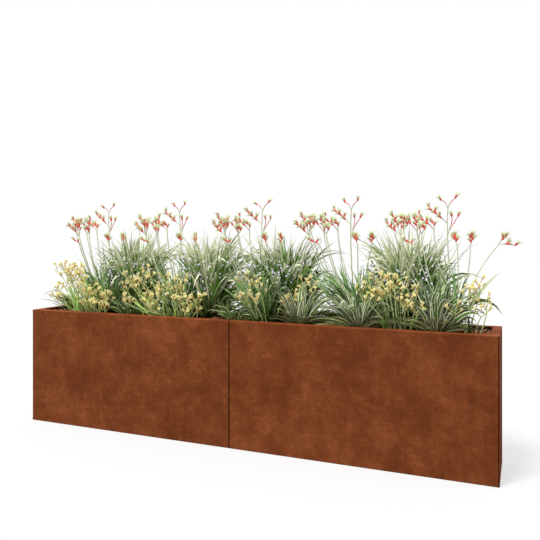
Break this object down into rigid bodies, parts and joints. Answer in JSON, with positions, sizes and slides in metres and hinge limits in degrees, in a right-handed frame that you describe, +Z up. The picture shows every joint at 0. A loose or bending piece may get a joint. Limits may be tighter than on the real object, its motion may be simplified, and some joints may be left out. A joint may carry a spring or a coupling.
{
  "type": "planter box",
  "caption": "Long rectangular planter box of folded weathering steel with an inward rim and a seam in the middle, filled with soil and flowering plants.",
  "frame": {"origin": "on the ground, at the middle of the box's length and width", "axes": "+X along the length towards the right end, -Y towards the front, +Z up"},
  "size_m": [3.3152, 0.5069, 1.59],
  "materials": {
    "weathering_steel": "matte orange-brown rust patina, softly clouded",
    "galvanised_steel": "dull galvanised, hidden inside",
    "stainless_steel": "plain stainless fasteners",
    "gravel": "loose drainage gravel",
    "filter_cloth": "dark non-woven filter cloth",
    "potting_soil": "brown potting soil under bark mulch",
    "strap_lily_leaf": "grey-green strap leaves with small pale violet flowers",
    "red_kangaroo_paw": "pale green stems and leaves, red flowers with green tips",
    "yellow_kangaroo_paw": "pale green stems and yellow flowers",
    "striped_leaf": "green leaves with cream edges",
    "green_leaf": "dark green leaves"
  },
  "bodies": {
    "root": {"base_plate_left": "galvanised_steel", "base_plate_right": "galvanised_steel", "base_rail_centre": "galvanised_steel", "base_rail_left": "galvanised_steel", "base_rail_right": "galvanised_steel", "cross_tie_centre": "galvanised_steel", "cross_tie_left": "galvanised_steel", "cross_tie_right": "galvanised_steel", "drainage_gravel": "gravel", "end_panel_left": "weathering_steel", "end_panel_right": "weathering_steel", "filter_liner": "filter_cloth", "front_left_corner_nut_1": "stainless_steel", "front_left_corner_nut_2": "stainless_steel", "front_panel_left": "weathering_steel", "front_panel_right": "weathering_steel", "front_right_corner_nut_1": "stainless_steel", "front_right_corner_nut_2": "stainless_steel", "front_seam_bolt_1": "stainless_steel", "front_seam_bolt_2": "stainless_steel", "front_seam_bolt_3": "stainless_steel", "front_stiffener_left": "galvanised_steel", "front_stiffener_right": "galvanised_steel", "front_tie_bolt_left": "stainless_steel", "front_tie_bolt_right": "stainless_steel", "green_lilyturf_1": "green_leaf", "green_lilyturf_2": "green_leaf", "green_lilyturf_3": "green_leaf", "rear_left_corner_nut_1": "stainless_steel", "rear_left_corner_nut_2": "stainless_steel", "rear_panel_left": "weathering_steel", "rear_panel_right": "weathering_steel", "rear_right_corner_nut_1": "stainless_steel", "rear_right_corner_nut_2": "stainless_steel", "rear_seam_bolt_1": "stainless_steel", "rear_seam_bolt_2": "stainless_steel", "rear_seam_bolt_3": "stainless_steel", "rear_stiffener_left": "galvanised_steel", "rear_stiffener_right": "galvanised_steel", "rear_tie_bolt_left": "stainless_steel", "rear_tie_bolt_right": "stainless_steel", "red_kangaroo_paw_1": "red_kangaroo_paw", "red_kangaroo_paw_2": "red_kangaroo_paw", "red_kangaroo_paw_3": "red_kangaroo_paw", "red_kangaroo_paw_4": "red_kangaroo_paw", "red_kangaroo_paw_5": "red_kangaroo_paw", "soil": "potting_soil", "strap_lily_1": "strap_lily_leaf", "strap_lily_2": "strap_lily_leaf", "strap_lily_3": "strap_lily_leaf", "strap_lily_4": "strap_lily_leaf", "striped_lilyturf_1": "striped_leaf", "striped_lilyturf_2": "striped_leaf", "striped_lilyturf_3": "striped_leaf", "yellow_kangaroo_paw_1": "yellow_kangaroo_paw", "yellow_kangaroo_paw_2": "yellow_kangaroo_paw", "yellow_kangaroo_paw_3": "yellow_kangaroo_paw", "yellow_kangaroo_paw_4": "yellow_kangaroo_paw", "yellow_kangaroo_paw_5": "yellow_kangaroo_paw", "yellow_kangaroo_paw_6": "yellow_kangaroo_paw"}
  },
  "joints": []
}
